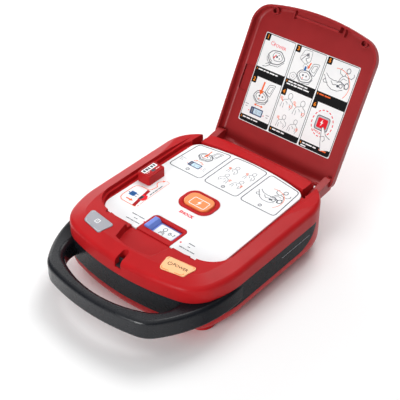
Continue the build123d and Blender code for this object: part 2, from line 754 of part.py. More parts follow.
board_top = key_board_level + board_thickness
with BuildPart() as tact_switches:
    with BuildSketch(Plane.XY.offset(board_top)):
        with Locations(key_middle, (-key_middle[0], key_middle[1])):
            Rectangle(6, 6)
    extrude(amount=3.6)
    with BuildSketch(Plane.XY.offset(board_top)):
        with Locations(key_middle, (-key_middle[0], key_middle[1])):
            Circle(1.75)
    extrude(amount=key_stem_end - button_travel - 0.1 - board_top)
    with BuildSketch(Plane.XY.offset(board_top)):
        with Locations(shock_centre):
            Rectangle(6, 6)
    extrude(amount=1)
    with BuildSketch(Plane.XY.offset(board_top)):
        with Locations(shock_centre):
            Circle(1.75)
    extrude(amount=shock_stem_end - shock_travel - 0.1 - board_top)
save(tact_switches, "tact_switches")

with BuildPart() as main_board:
    with BuildSketch(Plane.XY.offset(main_board_level)):
        with Locations((0, -28)):
            RectangleRounded(180, 136, 8)
    extrude(amount=board_thickness)
    # processor, memory, measuring amplifier and connectors
    with BuildSketch(Plane.XY.offset(main_board_level + board_thickness)):
        with Locations((-20, -40)):
            Rectangle(20, 20)
        with Locations((14, -44), (14, -28)):
            Rectangle(12, 8)
        with Locations((-58, 0)):
            Rectangle(10, 14)
    extrude(amount=1.8)
    with BuildSketch(Plane.XY.offset(main_board_level + board_thickness)):
        with Locations((-40, 28), (40, 28)):
            Rectangle(20, 6)
        with Locations((70, -40)):
            Rectangle(8, 18)
    extrude(amount=6)
save(main_board, "main_board")

with BuildPart() as power_board:
    with BuildSketch(Plane.XY.offset(power_board_level)):
        with Locations((30, -24)):
            RectangleRounded(120, 108, 5)
    extrude(amount=board_thickness)
    with BuildSketch(Plane.XY.offset(power_board_level + board_thickness)):
        with Locations((-12, -68), (-12, -52), (-12, -16)):
            Rectangle(14, 10)
        with Locations((20, 20)):
            Rectangle(34, 8)
    extrude(amount=9)
save(power_board, "power_board")

power_top = power_board_level + board_thickness
capacitor_height = power_top + capacitor_radius
with BuildPart() as hv_capacitor:
    with BuildSketch(Plane.XZ.offset(74)):
        with Locations((22, capacitor_height)):
            Circle(capacitor_radius)
    extrude(amount=-68)
    fillet(hv_capacitor.edges().filter_by(GeomType.CIRCLE), radius=1.5)
    with BuildSketch(Plane.XZ.offset(6)):
        with Locations((16, capacitor_height), (28, capacitor_height)):
            Circle(2)
    extrude(amount=-5)
save(hv_capacitor, "hv_capacitor")

with BuildPart() as capacitor_clamp:
    with BuildSketch(Plane.XZ.offset(48)):
        with Locations((22, capacitor_height)):
            Circle(capacitor_radius + 1.6)
        with Locations((22, power_top + 0.8)):
            Rectangle(2 * capacitor_radius + 14, 1.6)
        with Locations((22, capacitor_height)):
            Circle(capacitor_radius + 0.05, mode=Mode.SUBTRACT)
        with Locations((22, power_top - 5)):
            Rectangle(60, 10, mode=Mode.SUBTRACT)
    extrude(amount=-12)
save(capacitor_clamp, "capacitor_clamp")

with BuildPart() as transformer:
    with BuildSketch(Plane.XY.offset(power_top)):
        with Locations((66, -56)):
            Rectangle(34, 28)
    extrude(amount=26)
    chamfer(transformer.edges().filter_by(Axis.Z), length=1.5)
    with BuildSketch(Plane.XY.offset(power_top + 3)):
        with Locations((66, -56)):
            RectangleRounded(24, 38, 3)
    extrude(amount=20)
save(transformer, "transformer")

with BuildPart() as output_relay:
    with BuildSketch(Plane.XY.offset(power_top)):
        with Locations((70, -14)):
            Rectangle(30, 22)
    extrude(amount=18)
    chamfer(output_relay.faces().sort_by(Axis.Z)[-1].edges(), length=1)
save(output_relay, "output_relay")

with BuildPart() as loudspeaker:
    speaker_bed = case_bottom + wall
    with BuildSketch(Plane.XY.offset(speaker_bed)):
        with Locations(speaker_centre):
            Circle(22)
            Circle(17, mode=Mode.SUBTRACT)
    extrude(amount=3)
    with BuildSketch(Plane.XY.offset(speaker_bed + 3)):
        with Locations(speaker_centre):
            Circle(20)
    extrude(amount=6, taper=30)
    with BuildSketch(Plane.XY.offset(speaker_bed + 9)):
        with Locations(speaker_centre):
            Circle(12)
    extrude(amount=6)
save(loudspeaker, "loudspeaker")

# ---------------------------------------------------------------- battery
battery_half_width = bay_half_width - 0.4
battery_front = bay_front + 0.8
battery_floor = bay_floor + 0.3
battery_top = bay_roof - 0.4

with BuildPart() as battery_contacts:
    with BuildSketch(Plane.XZ.offset(-(bay_front - wall - 4))):
        with Locations(*[(x, contact_height) for x in contact_columns]):
            Rectangle(1.4, 7)
    extrude(amount=-(wall + 4.7))
save(battery_contacts, "battery_contacts")

with BuildPart() as battery_block:
    with BuildSketch(Plane.XY.offset(battery_floor)):
        with Locations((0, battery_front + 60)):
            Rectangle(2 * battery_half_width, 120)
    extrude(amount=battery_top - battery_floor)
    add(lower_block.part, mode=Mode.INTERSECT)

with BuildPart() as battery_case:
    add(battery_block.part)
    with BuildSketch(Plane.XY.offset(battery_floor - 5)):
        with Locations((0, cover_start + 30)):
            Rectangle(120, 60)
    extrude(amount=60, mode=Mode.SUBTRACT)
    with BuildSketch(Plane.XY.offset(battery_floor + 2)):
        with Locations((0, battery_front + 62)):
            Rectangle(2 * battery_half_width - 4, 120)
    extrude(amount=battery_top - battery_floor - 4, mode=Mode.SUBTRACT)
    with BuildSketch(Plane.XZ.offset(-battery_front)):
        with Locations(*[(x, contact_height) for x in contact_columns]):
            Rectangle(4, 10)
    extrude(amount=-1.2, mode=Mode.SUBTRACT)
save(battery_case, "battery_case")

with BuildPart() as battery_terminals:
    with BuildSketch(Plane.XZ.offset(-(battery_front + 0.8))):
        with Locations(*[(x, contact_height) for x in contact_columns]):
            Rectangle(4, 10)
    extrude(amount=-0.4)
save(battery_terminals, "battery_terminals")

with BuildPart() as battery_cells:
    with BuildSketch(Plane.XZ.offset(-(battery_front + 4))):
        with Locations((0, battery_floor + 2 + cell_radius)):
            with GridLocations(2 * cell_radius + 1.5, 0, 4, 1):
                Circle(cell_radius)
    extrude(amount=-cell_length)
    with BuildSketch(Plane.XZ.offset(-(battery_front + 5.5 + cell_length))):
        with Locations((0, battery_floor + 2 + cell_radius)):
            with GridLocations(2 * cell_radius + 1.5, 0, 4, 1):
                Circle(cell_radius)
    extrude(amount=-cell_length)
save(battery_cells, "battery_cells")

with BuildPart() as battery_cover:
    add(battery_block.part)
    with BuildSketch(Plane.XY.offset(battery_floor - 5)):
        with Locations((0, cover_start - 60)):
            Rectangle(120, 120)
    extrude(amount=60, mode=Mode.SUBTRACT)
    # finger groove under the rear edge
    with BuildSketch(Plane.YZ):
        with Locations((142, 16)):
            Circle(9)
    extrude(amount=26, both=True, mode=Mode.SUBTRACT)
save(battery_cover, "battery_cover")
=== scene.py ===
"""Looks of the public-access defibrillator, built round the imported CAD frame."""
import bpy
import bmesh
from math import cos, radians, sin
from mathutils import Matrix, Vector
from mathutils.bvhtree import BVHTree
from mathutils.geometry import tessellate_polygon


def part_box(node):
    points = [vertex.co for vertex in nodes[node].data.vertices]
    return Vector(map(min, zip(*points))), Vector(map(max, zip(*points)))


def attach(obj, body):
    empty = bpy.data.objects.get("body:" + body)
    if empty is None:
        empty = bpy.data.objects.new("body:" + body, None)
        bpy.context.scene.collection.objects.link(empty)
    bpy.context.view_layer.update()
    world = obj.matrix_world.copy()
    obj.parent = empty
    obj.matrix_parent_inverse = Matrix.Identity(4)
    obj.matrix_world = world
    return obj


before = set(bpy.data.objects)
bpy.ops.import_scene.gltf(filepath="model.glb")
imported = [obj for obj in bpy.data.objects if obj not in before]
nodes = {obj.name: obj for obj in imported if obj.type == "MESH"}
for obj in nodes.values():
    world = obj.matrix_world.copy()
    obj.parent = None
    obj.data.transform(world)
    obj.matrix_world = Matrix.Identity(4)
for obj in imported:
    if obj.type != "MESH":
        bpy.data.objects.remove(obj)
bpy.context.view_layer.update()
MM = 0.001

# ---------------------------------------- camera
camera_data = bpy.data.cameras.new("camera")
camera_data.sensor_width = 36.0
camera_data.lens = 90.7
camera = bpy.data.objects.new("camera", camera_data)
bpy.context.collection.objects.link(camera)
camera.location = (0.6360, -0.7740, 0.8411)
looking_at = Vector((-0.0037, -0.0204, 0.0760))
camera.rotation_euler = (looking_at - camera.location).to_track_quat("-Z", "Y").to_euler()
bpy.context.scene.camera = camera


# ---------------------------------------- stage and light
def area_light(name, location, target, size, power):
    """A round softbox that faces its target."""
    data = bpy.data.lights.new(name, "AREA")
    data.shape = "DISK"
    data.size = size
    data.energy = power
    light = bpy.data.objects.new(name, data)
    bpy.context.collection.objects.link(light)
    light.location = location
    light.rotation_euler = (Vector(target) - Vector(location)).to_track_quat("-Z", "Y").to_euler()


def make_stage():
    """A pale floor, a studio that is bright overhead, and three soft lights."""
    mesh = bpy.data.meshes.new("floor")
    mesh.from_pydata([(-6, -6, 0), (6, -6, 0), (6, 6, 0), (-6, 6, 0)], [], [(0, 1, 2, 3)])
    floor = bpy.data.objects.new("floor", mesh)
    bpy.context.collection.objects.link(floor)
    paint = bpy.data.materials.new("floor_paint")
    paint.use_nodes = True
    shader = paint.node_tree.nodes["Principled BSDF"]
    shader.inputs["Base Color"].default_value = (0.96, 0.96, 0.96, 1)
    shader.inputs["Specular IOR Level"].default_value = 0.1
    shader.inputs["Roughness"].default_value = 0.9
    mesh.materials.append(paint)
    world = bpy.data.worlds.new("studio")
    world.use_nodes = True
    # bright overhead, dim towards the horizon
    tree = world.node_tree
    place = tree.nodes.new("ShaderNodeTexCoord")
    split = tree.nodes.new("ShaderNodeSeparateXYZ")
    ramp = tree.nodes.new("ShaderNodeValToRGB")
    ramp.color_ramp.elements[0].color = (0.09, 0.09, 0.095, 1)
    ramp.color_ramp.elements[0].position = 0.5
    ramp.color_ramp.elements[1].color = (1.0, 1.0, 1.0, 1)
    ramp.color_ramp.elements[1].position = 0.95
    tree.links.new(place.outputs["Generated"], split.inputs["Vector"])
    tree.links.new(split.outputs["Z"], ramp.inputs["Fac"])
    tree.links.new(ramp.outputs["Color"], tree.nodes["Background"].inputs["Color"])
    tree.nodes["Background"].inputs["Strength"].default_value = 0.95
    bpy.context.scene.world = world
    area_light("key", (0.10, -1.50, 0.52), (0, 0.12, 0.14), 0.6, 14)
    area_light("top", (-0.12, 0.68, 1.35), (0, 0, 0.05), 0.8, 11)
    area_light("left", (-1.25, 0.55, 0.52), (0, -0.05, 0.06), 1.2, 9)
    bpy.context.scene.view_settings.view_transform = "Standard"


make_stage()


# ---------------------------------------- materials
class Graph:
    """A short way to write a node material."""

    def __init__(self, name):
        self.material = bpy.data.materials.new(name)
        self.material.use_nodes = True
        self.tree = self.material.node_tree
        self.shader = self.tree.nodes["Principled BSDF"]

    def node(self, kind, **values):
        made = self.tree.nodes.new(kind)
        for key, value in values.items():
            if key in made.inputs:
                made.inputs[key].default_value = value
            else:
                setattr(made, key, value)
        return made

    def link(self, source, output, target, socket):
        self.tree.links.new(source.outputs[output], target.inputs[socket])

    def noise(self, place, scale, detail):
        made = self.node("ShaderNodeTexNoise", Scale=scale, Detail=detail)
        self.link(place, "Object", made, "Vector")
        return made

    def mottle(self, texture, low, high):
        """Runs a texture through a ramp of two colours into the shader's base colour."""
        ramp = self.node("ShaderNodeValToRGB")
        for stop, position, color in zip(ramp.color_ramp.elements, (0.35, 0.65), (low, high)):
            stop.position = position
            stop.color = (*color, 1)
        self.link(texture, "Fac", ramp, "Fac")
        self.link(ramp, "Color", self.shader, "Base Color")


def tint(color, factor):
    """A colour made lighter or darker."""
    return tuple(min(1.0, channel * factor) for channel in color)


def moulded(name, color, rough=0.4, grain=0.05, edge=0.0008, coat=0.0, spread=0.05, gloss=0.35):
    """Injection-moulded plastic: faint mottling, fine spark-eroded grain, softened edges."""
    g = Graph(name)
    place = g.node("ShaderNodeTexCoord")
    g.mottle(g.noise(place, 28, 4), tint(color, 1 - spread), tint(color, 1 + spread))
    rub = g.noise(place, 90, 5)
    polish = g.node("ShaderNodeMapRange")
    polish.inputs["To Min"].default_value = rough - 0.05
    polish.inputs["To Max"].default_value = rough + 0.06
    g.link(rub, "Fac", polish, "Value")
    g.link(polish, "Result", g.shader, "Roughness")
    fine = g.noise(place, 2600, 2)
    bump = g.node("ShaderNodeBump", Strength=grain, Distance=0.0001)
    g.link(fine, "Fac", bump, "Height")
    if edge:
        soft = g.node("ShaderNodeBevel", samples=4, Radius=edge)
        g.link(soft, "Normal", bump, "Normal")
    g.link(bump, "Normal", g.shader, "Normal")
    g.shader.inputs["Coat Weight"].default_value = coat
    g.shader.inputs["Coat Roughness"].default_value = 0.15
    g.shader.inputs["Specular IOR Level"].default_value = gloss
    return g.material


red_shell = moulded("red_shell", (0.47, 0.013, 0.016), rough=0.32, gloss=0.10)
# the lid is the same red plastic as the case; its darker base colour is painted shade, which keeps the lid
# dark under the front key light
lid_red_painted_shade = moulded("lid_red_painted_shade", (0.36, 0.022, 0.024), rough=0.34, gloss=0.3)
charcoal = moulded("charcoal", (0.009, 0.010, 0.013), rough=0.27, grain=0.02, spread=0.12)
white = moulded("white_panel", (0.88, 0.89, 0.90), rough=0.32, spread=0.01)
orange = moulded("orange_button", (1.0, 0.30, 0.10), rough=0.28, coat=0.3, spread=0.02)
peach = moulded("peach_key", (1.0, 0.55, 0.27), rough=0.40, spread=0.02)
grey_key = moulded("grey_key", (0.36, 0.36, 0.40), rough=0.38, spread=0.03)
blue = moulded("blue_slider", (0.17, 0.27, 0.75), rough=0.35, spread=0.03)
film = moulded("printed_film", (0.90, 0.94, 0.95), rough=0.25, spread=0.01)
smoke = moulded("smoked_window", (0.02, 0.02, 0.024), rough=0.15, grain=0.0, coat=0.5)
natural = moulded("natural_plastic", (0.55, 0.54, 0.50), rough=0.5)
rubber = moulded("rubber", (0.02, 0.02, 0.021), rough=0.7, grain=0.25)
steel = moulded("steel", (0.5, 0.5, 0.52), rough=0.3)
brass = moulded("brass", (0.75, 0.52, 0.18), rough=0.28)
board = moulded("circuit_board", (0.02, 0.16, 0.06), rough=0.35)
black_part = moulded("black_component", (0.02, 0.02, 0.022), rough=0.4)
cell_wrap = moulded("cell_wrap", (0.30, 0.33, 0.42), rough=0.3)


def polished_by_hand(material, low, high):
    """The loop in front of the case is worn shinier than the band round it."""
    loop_side, band_side = -0.20, -0.15    # metres along y, either side of the case's front
    tree = material.node_tree
    place = tree.nodes.new("ShaderNodeTexCoord")
    split = tree.nodes.new("ShaderNodeSeparateXYZ")
    rise = tree.nodes.new("ShaderNodeMapRange")
    rise.inputs["From Min"].default_value = loop_side
    rise.inputs["From Max"].default_value = band_side
    rise.inputs["To Min"].default_value = high
    rise.inputs["To Max"].default_value = low
    tree.links.new(place.outputs["Object"], split.inputs["Vector"])
    tree.links.new(split.outputs["Y"], rise.inputs["Value"])
    tree.links.new(rise.outputs["Result"], tree.nodes["Principled BSDF"].inputs["Specular IOR Level"])


polished_by_hand(charcoal, 0.06, 0.34)
for metal in (steel, brass):
    metal.node_tree.nodes["Principled BSDF"].inputs["Metallic"].default_value = 1.0

finishes = {
    "lower_case": red_shell, "upper_case": red_shell, "shock_bezel": red_shell,
    "connector_housing": red_shell, "carry_handle": charcoal, "control_panel": white,
    "shock_button": orange, "power_button": peach, "info_button": grey_key,
    "mode_slider": blue, "mode_cards": film, "mode_guide": natural, "slider_magnet": steel,
    "connector_label": red_shell, "connector_contacts": brass, "lid": lid_red_painted_shade, "lid_label": film,
    "ir_window": smoke, "hinge_pins": steel, "case_seal": rubber, "case_screws": steel,
    "rubber_feet": rubber, "key_board": board, "tact_switches": black_part,
    "main_board": board, "power_board": board, "hv_capacitor": cell_wrap,
    "capacitor_clamp": natural, "transformer": black_part, "output_relay": black_part,
    "loudspeaker": black_part, "battery_contacts": brass, "battery_case": charcoal,
    "battery_cover": charcoal, "battery_cells": cell_wrap, "battery_terminals": brass,
}
for node_name, finish in finishes.items():
    solid = nodes[node_name]
    solid.data.materials.clear()
    solid.data.materials.append(finish)

# ---------------------------------------- inks and printed areas
inks = {name: moulded("ink_" + name, color, rough=0.45, grain=0.02, edge=0, spread=0.03, gloss=0.08)
        for name, color in {
            "black": (0.010, 0.010, 0.011), "line": (0.085, 0.095, 0.115), "grey": (0.26, 0.27, 0.29),
            "pale": (0.55, 0.56, 0.58), "white": (0.97, 0.98, 0.98), "orange": (0.95, 0.16, 0.04),
            "amber": (0.90, 0.26, 0.02), "red": (0.80, 0.015, 0.03), "rose": (0.90, 0.20, 0.22),
            "blue": (0.015, 0.14, 0.42), "navy": (0.02, 0.045, 0.15), "sky": (0.62, 0.80, 0.92),
            "brown": (0.11, 0.032, 0.010), "dark_red": (0.42, 0.008, 0.014),
        }.items()}
SUNK = 0.05 * MM             # how far every print reaches into the surface under it
STEP = 0.015 * MM            # height of one layer of ink; the first layer is three steps high


class Sheet:
    """A printed area. Flat outlines, in millimetres, are laid on a surface as thin closed slabs of ink."""

    def __init__(self, name, body, lay):
        self.name = name
        self.body = body
        self.lay = lay
        self.meshes = {}

    def slab(self, ink_name, points, faces, layer):
        """One closed slab: the faces on top, the same faces below, and walls along the free edges."""
        mesh = self.meshes.setdefault(ink_name, bmesh.new())
        top = []
        low = []
        for x, y in points:
            spot, normal = self.lay(x, y)
            top.append(mesh.verts.new(spot + normal * (2 + layer) * STEP))
            low.append(mesh.verts.new(spot - normal * SUNK))
        sides = set()
        for face in faces:
            corners = list(face)
            area = sum(points[a][0] * points[b][1] - points[b][0] * points[a][1]
                       for a, b in zip(corners, corners[1:] + corners[:1]))
            if area < 0:
                corners.reverse()
            mesh.faces.new([top[k] for k in corners])
            mesh.faces.new([low[k] for k in reversed(corners)])
            sides.update(zip(corners, corners[1:] + corners[:1]))
        for a, b in sides:
            if (b, a) not in sides:
                mesh.faces.new((top[a], low[a], low[b], top[b]))

    def finish(self):
        """Makes one piece for each ink and lets it ride on the sheet's body."""
        for ink_name, mesh in self.meshes.items():
            bmesh.ops.delete(mesh, geom=[v for v in mesh.verts if not v.link_faces], context="VERTS")
            bmesh.ops.recalc_face_normals(mesh, faces=mesh.faces)
            data = bpy.data.meshes.new(self.name + "_" + ink_name)
            mesh.to_mesh(data)
            mesh.free()
            data.materials.append(inks[ink_name])
            piece = bpy.data.objects.new(self.name + "_" + ink_name, data)
            bpy.context.collection.objects.link(piece)
            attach(piece, self.body)


def arc_points(x, y, rx, ry, start, end, count):
    """Points along an elliptic arc, from the start angle to the end angle in degrees."""
    return [(x + rx * cos(radians(start + (end - start) * k / count)),
             y + ry * sin(radians(start + (end - start) * k / count))) for k in range(count + 1)]


def oval(x, y, rx, ry):
    """A closed outline of 24 points spaced evenly round an ellipse."""
    return arc_points(x, y, rx, ry, 0, 345, 23)


def soft_corners(corners, radius):
    """A closed outline with its corners rounded."""
    steps = 5
    outline = []
    for k, corner in enumerate(corners):
        here = Vector(corner)
        back = (Vector(corners[k - 1]) - here).normalized()
        on = (Vector(corners[(k + 1) % len(corners)]) - here).normalized()
        for step in range(steps + 1):
            t = step / steps
            spot = here + back * radius * (1 - t) ** 2 + on * radius * t ** 2
            outline.append((spot.x, spot.y))
    return outline


class Pen:
    """Draws on a sheet in its own local millimetres."""

    def __init__(self, sheet, x=0.0, y=0.0, scale=1.0, turn=0.0, layer=1):
        self.sheet = sheet
        self.spot = (x, y)
        self.scale = scale
        self.turn = turn
        self.layer = layer

    def at(self, x, y, scale=1.0, turn=0.0, layer=None):
        """A new pen whose own origin lies at that point of this one."""
        spot = self.out(x, y)
        return Pen(self.sheet, spot[0], spot[1], self.scale * scale, self.turn + turn,
                   self.layer if layer is None else layer)

    def on_layer(self, layer):
        """The same pen, with its ink stacked on that layer."""
        return self.at(0, 0, layer=layer)

    def out(self, x, y):
        """A point of this pen in the sheet's millimetres."""
        c = cos(radians(self.turn)) * self.scale
        s = sin(radians(self.turn)) * self.scale
        return (self.spot[0] + c * x - s * y, self.spot[1] + s * x + c * y)

    def area(self, ink, outline):
        """Fills a closed outline."""
        faces = tessellate_polygon([[Vector((x, y, 0)) for x, y in outline]])
        self.sheet.slab(ink, [self.out(*point) for point in outline], faces, self.layer)

    def line(self, ink, width, points, closed=False):
        """A mitred line of even width."""
        left = []
        right = []
        count = len(points)
        spots = [Vector(point) for point in points]
        for k, spot in enumerate(spots):
            ways = []
            if k or closed:
                ways.append((spot - spots[k - 1]).normalized())
            if k < count - 1 or closed:
                ways.append((spots[(k + 1) % count] - spot).normalized())
            way = sum(ways, Vector((0, 0))).normalized()
            side = Vector((-way.y, way.x)) * width / 2 / max(0.5, way.dot(ways[0]))
            left.append(self.out(*(spot + side)))
            right.append(self.out(*(spot - side)))
        spans = range(count if closed else count - 1)
        faces = [(k, (k + 1) % count, count + (k + 1) % count, count + k) for k in spans]
        self.sheet.slab(ink, left + right, faces, self.layer)

    def disc(self, ink, x, y, radius):
        self.area(ink, oval(x, y, radius, radius))

    def ring(self, ink, x, y, rx, width, ry=None):
        self.line(ink, width, oval(x, y, rx, ry or rx), True)

    def box(self, ink, x0, y0, x1, y1, radius):
        self.area(ink, soft_corners([(x0, y0), (x1, y0), (x1, y1), (x0, y1)], radius))

    def frame(self, ink, width, corners, radius):
        self.line(ink, width, soft_corners(corners, radius), True)

    def arrow(self, ink, width, points, head):
        """A line with a pointed head of the given length at its last point."""
        tip = Vector(points[-1])
        way = (tip - Vector(points[-2])).normalized()
        side = Vector((-way.y, way.x)) * head * 0.6
        neck = tip - way * head
        self.line(ink, width, points[:-1] + [tuple(neck + way * 0.1)])
        self.area(ink, [tuple(tip), tuple(neck + side), tuple(neck - side)])

    def words(self, ink, x, y, height, *lengths):
        """Bars that stand for a line of words."""
        for length in lengths:
            self.area(ink, [(x, y), (x + length, y), (x + length, y + height), (x, y + height)])
            x += length + height * 0.7

    def text(self, ink, letters, x, y, size, bold):
        """Letters of a plain typeface, thickened by the given amount all round."""
        curve = bpy.data.curves.new("letters", "FONT")
        curve.body = letters
        curve.size = size
        curve.align_x = "CENTER"
        curve.align_y = "CENTER"
        curve.resolution_u = 2
        curve.offset = bold
        holder = bpy.data.objects.new("letters", curve)
        flat = bmesh.new()
        flat.from_mesh(bpy.data.meshes.new_from_object(holder))
        bmesh.ops.remove_doubles(flat, verts=flat.verts, dist=1e-4)
        flat.verts.index_update()
        points = [self.out(x + v.co.x, y + v.co.y) for v in flat.verts]
        faces = [[v.index for v in face.verts] for face in flat.faces]
        flat.free()
        bpy.data.objects.remove(holder)
        self.sheet.slab(ink, points, faces, self.layer)


# ---------------------------------------- pictograms
def open_device(pen, width):
    """An opened unit seen from the front, about 26 wide and 24 high."""
    base = soft_corners([(0, 7), (8, 0), (19, 2.5), (22, 9), (14, 15), (4, 13.5)], 2.4)
    pen.line("line", width * 1.5, base, True)
    pen.line("line", width, [(0.3, 5.6), (2, 3.2), (8.3, -1.8), (19.3, 0.7), (22.2, 7)])
    tray = soft_corners([(3, 7.6), (8.6, 3), (17, 4.8), (18.8, 9), (13, 12.6), (5, 11.4)], 1.6)
    pen.line("line", width, tray, True)
    pen.line("line", width, soft_corners([(14.5, 15), (17.5, 25), (26, 26.5), (22.6, 11)], 1.5), True)
    pen.line("line", width * 0.8, soft_corners([(17, 16), (19, 23), (24, 24), (21.6, 15)], 1.0), True)
    pen.disc("line", 8.6, 8.4, 1.2)
    pen.disc("line", 13.2, 8.2, 1.0)
    pen.on_layer(pen.layer + 1).disc("orange", 9, 5, 0.8)


def shut_device(pen, width):
    """A hand switching on a shut unit."""
    base = soft_corners([(0, 8), (7, 0), (18, 1.5), (25, 9), (17, 17), (5, 15)], 3)
    pen.line("line", width * 1.6, base, True)
    pen.line("line", width, [(0, 6.4), (1.5, 2.6), (7.4, -2.2), (18.2, -0.8), (24.6, 6)])
    tray = soft_corners([(7, 9), (11, 4.4), (19, 5.6), (21.6, 9.6), (15.6, 14.6), (8.4, 13.6)], 2)
    pen.line("line", width, tray, True)
    pen.line("line", width, [(2, 9), (5.6, 4.2), (8.6, 2.8)])
    pen.disc("line", 13, 9.6, 1.3)
    pen.disc("line", 16.6, 8.4, 0.8)
    pen.disc("line", 15, 12, 0.7)
    pen.line("line", width, [(-2, -6), (2.4, -5), (6, -2.4), (8.4, 1.6)])
    pen.line("line", width, [(1, -2.4), (5, -0.2), (7.4, 2.4)])
    pen.arrow("red", 1.2, [(11.6, 11.6), (8.2, 6.2)], 2.6)


def slider_icon(pen):
    """The slider's window with a card in it, and a dot at each side."""
    pen.box("navy", -10, -5, 10, 5, 1.6)
    front = pen.on_layer(pen.layer + 1)
    front.box("sky", -4.6, -3.6, 8.4, 3.6, 0.8)
    front.box("grey", -8.2, -3.4, -6, 3.4, 0.5)
    top = pen.on_layer(pen.layer + 2)
    top.ring("grey", 0, 0.6, 1.3, 0.3)
    top.line("grey", 0.3, [(-2, -2.8), (0, -1.6), (2, -2.8)])
    top.line("grey", 0.4, [(3.4, 0), (5, 0)])
    top.line("grey", 0.4, [(5.6, 1.4), (6.8, 1.4), (5.8, -1.6)])
    for x in (-12.2, 12.2):
        pen.disc("red", x, -1.5, 0.8)


def figure(pen, ink, width, pad, mirrored=1):
    """Head and bare torso with one electrode pad held in place."""
    m = mirrored
    pen.ring(ink, 2.5 * m, 8, 2.9, width, 3.5)
    pen.line(ink, width, [(0.6 * m, 5.2), (0.4 * m, 3.6), (-4.4 * m, 2), (-6 * m, -1), (-7 * m, -8)])
    pen.line(ink, width, [(3.8 * m, 5), (4.2 * m, 3.4), (8 * m, 1), (9 * m, -3), (6 * m, -8)])
    pen.line(ink, width, [(-3.6 * m, -2), (-3.2 * m, -8)])
    pen.line(ink, width, [(-1.6 * m, 0.4), (0.6 * m, -0.4), (1.4 * m, -2.6)])
    pen.line(ink, width, [(3.6 * m, -1), (5.4 * m, -3.2), (5.2 * m, -6)])
    spot = pen.at(pad[0], pad[1], layer=pen.layer + 1)
    spot.ring("orange", 0, 0, 1.7, width * 0.8)
    spot.disc("orange", 0, 0, 0.7)
    spot.line("orange", width * 1.6, [(0.5, -1.6), (1.5 - pad[0] * 0.2, -3.2)])


def rescue(pen, width):
    """A rescuer kneeling back, hands off, beside a patient who lies on the floor."""
    pen.line("line", width, [(0, 20), (2.4, 17.4), (5, 13.6), (9.4, 8.6), (16, 5.6), (24, 6), (31, 9.6)])
    pen.line("line", width, [(2.6, 22.6), (5.2, 20.2), (9, 18), (15.4, 17), (20, 17.8)])
    pen.line("line", width, [(4, 16), (1, 13), (3, 10.6), (8, 11.6)])
    pen.line("line", width, [(12, 15.6), (16, 11.6), (20, 13), (25, 12)])
    pen.line("line", width * 1.8, [(20, 16.4), (25, 18.4), (31, 16), (33, 11.4)])
    pen.ring("line", 34.6, 15.6, 2.8, width * 1.5, 3.6)
    pen.ring("line", 27, 13.4, 2.4, width * 1.3)
    pen.box("line", 21.4, 10.6, 24.6, 13.6, 0.8)
    pen.line("line", width, [(22, 18), (24, 24), (28, 27), (33, 26), (36, 21), (34, 19)])
    pen.line("line", width, [(26, 25.6), (21, 28), (19.6, 32.4), (21.6, 34.8)])
    pen.line("line", width, [(33, 26), (38, 26), (40.4, 29.4), (39.4, 32.6)])
    pen.line("line", width, [(28, 27), (28.6, 30), (31.6, 31.4)])
    pen.ring("line", 31, 34, 2.6, width * 1.2, 3.2)
    pen.line("line", width * 0.8, [(24.4, 19.6), (27.6, 23.2), (32.4, 22.4)])
    wide = pen.on_layer(pen.layer + 1)
    wide.line("orange", 0.75, arc_points(19, 13, 20, 20, 105, -38, 26))


def bolt(pen, ink, size):
    """The lightning bolt of the shock button."""
    pen.area(ink, [(0.12 * size, 0.5 * size), (-0.22 * size, -0.04 * size), (-0.02 * size, -0.04 * size),
                   (-0.12 * size, -0.5 * size), (0.24 * size, 0.08 * size), (0.03 * size, 0.08 * size)])


def power_sign(pen, ink, radius, width):
    """A broken ring with an upright stroke in its gap."""
    pen.line(ink, width, arc_points(0, 0, radius, radius, 125, 415, 22))
    pen.line(ink, width, [(0, radius * 0.25), (0, radius * 1.25)])


# ---------------------------------------- prints on level faces
UP = Vector((0, 0, 1))
PANEL_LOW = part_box("control_panel")[0]
PANEL_FRONT = -75.0          # the panel's front edge in the prints' own millimetres


def level_with(node):
    """Lays a print on a level surface: the top of a node."""
    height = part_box(node)[1][2]
    return lambda x, y: (Vector((x * MM, (y - PANEL_FRONT) * MM + PANEL_LOW[1], height)), UP)


def rear_cells(pen):
    """Three numbered cells: open it and set the slider, place the pads, stand clear."""
    foot = 49.6
    outlines = (
        [(-85.5, foot), (-32.6, foot), (-32.6, 115.2), (-82.2, 107.6)],
        [(-26.3, foot), (26.3, foot), (26.3, 115.6), (0, 117.4), (-26.3, 115.6)],
        [(32.2, foot), (85.7, foot), (82.2, 107.6), (32.2, 115.2)],
    )
    for number, (middle, outline) in enumerate(zip((-58.6, 0.4, 59.0), outlines), 1):
        pen.frame("line", 1.2, outline, 5.5)
        pen.ring("line", middle, 56.1, 2.2, 1.0)
        pen.text("line", str(number), middle, 56.0, 3.2, 0.05)
    open_device(pen.at(-68, 83.5), 0.8)
    pen.on_layer(3).arrow("orange", 1.5, [(-58.7, 106), (-58.0, 90.6)], 4.6)
    slider_icon(pen.at(-56.6, 68.2, 0.95))
    pen.words("orange", -63.4, 77.2, 1.1, 4.6, 1.2, 5.2)
    for start, end in ((-60, -65), (-53, -48)):
        pen.arrow("orange", 0.6, [(start, 75.6), (end, 75.6)], 1.8)
    for row, (first, second) in enumerate(((3, 4.6), (2.4, 1.6), (3.4, 2))):
        pen.words("grey", -82.6 + row * 0.4, 72 - row * 2.6, 0.7, first, second)
        pen.words("grey", -42.6 + row * 0.4, 70 - row * 2.6, 0.7, first)
    for x, y, pad, mirrored in ((-11.5, 91, (-7.0, 2.6), 1), (13.5, 94, (-7.0, 3.4), 1),
                                (-8, 70.5, (8.0, 1.4), -1), (11, 70.5, (7.6, 0.6), 1)):
        figure(pen.at(x, y, 0.92), "grey", 0.85, pad, mirrored)
    rescue(pen.at(38.4, 61, 1.02), 0.8)


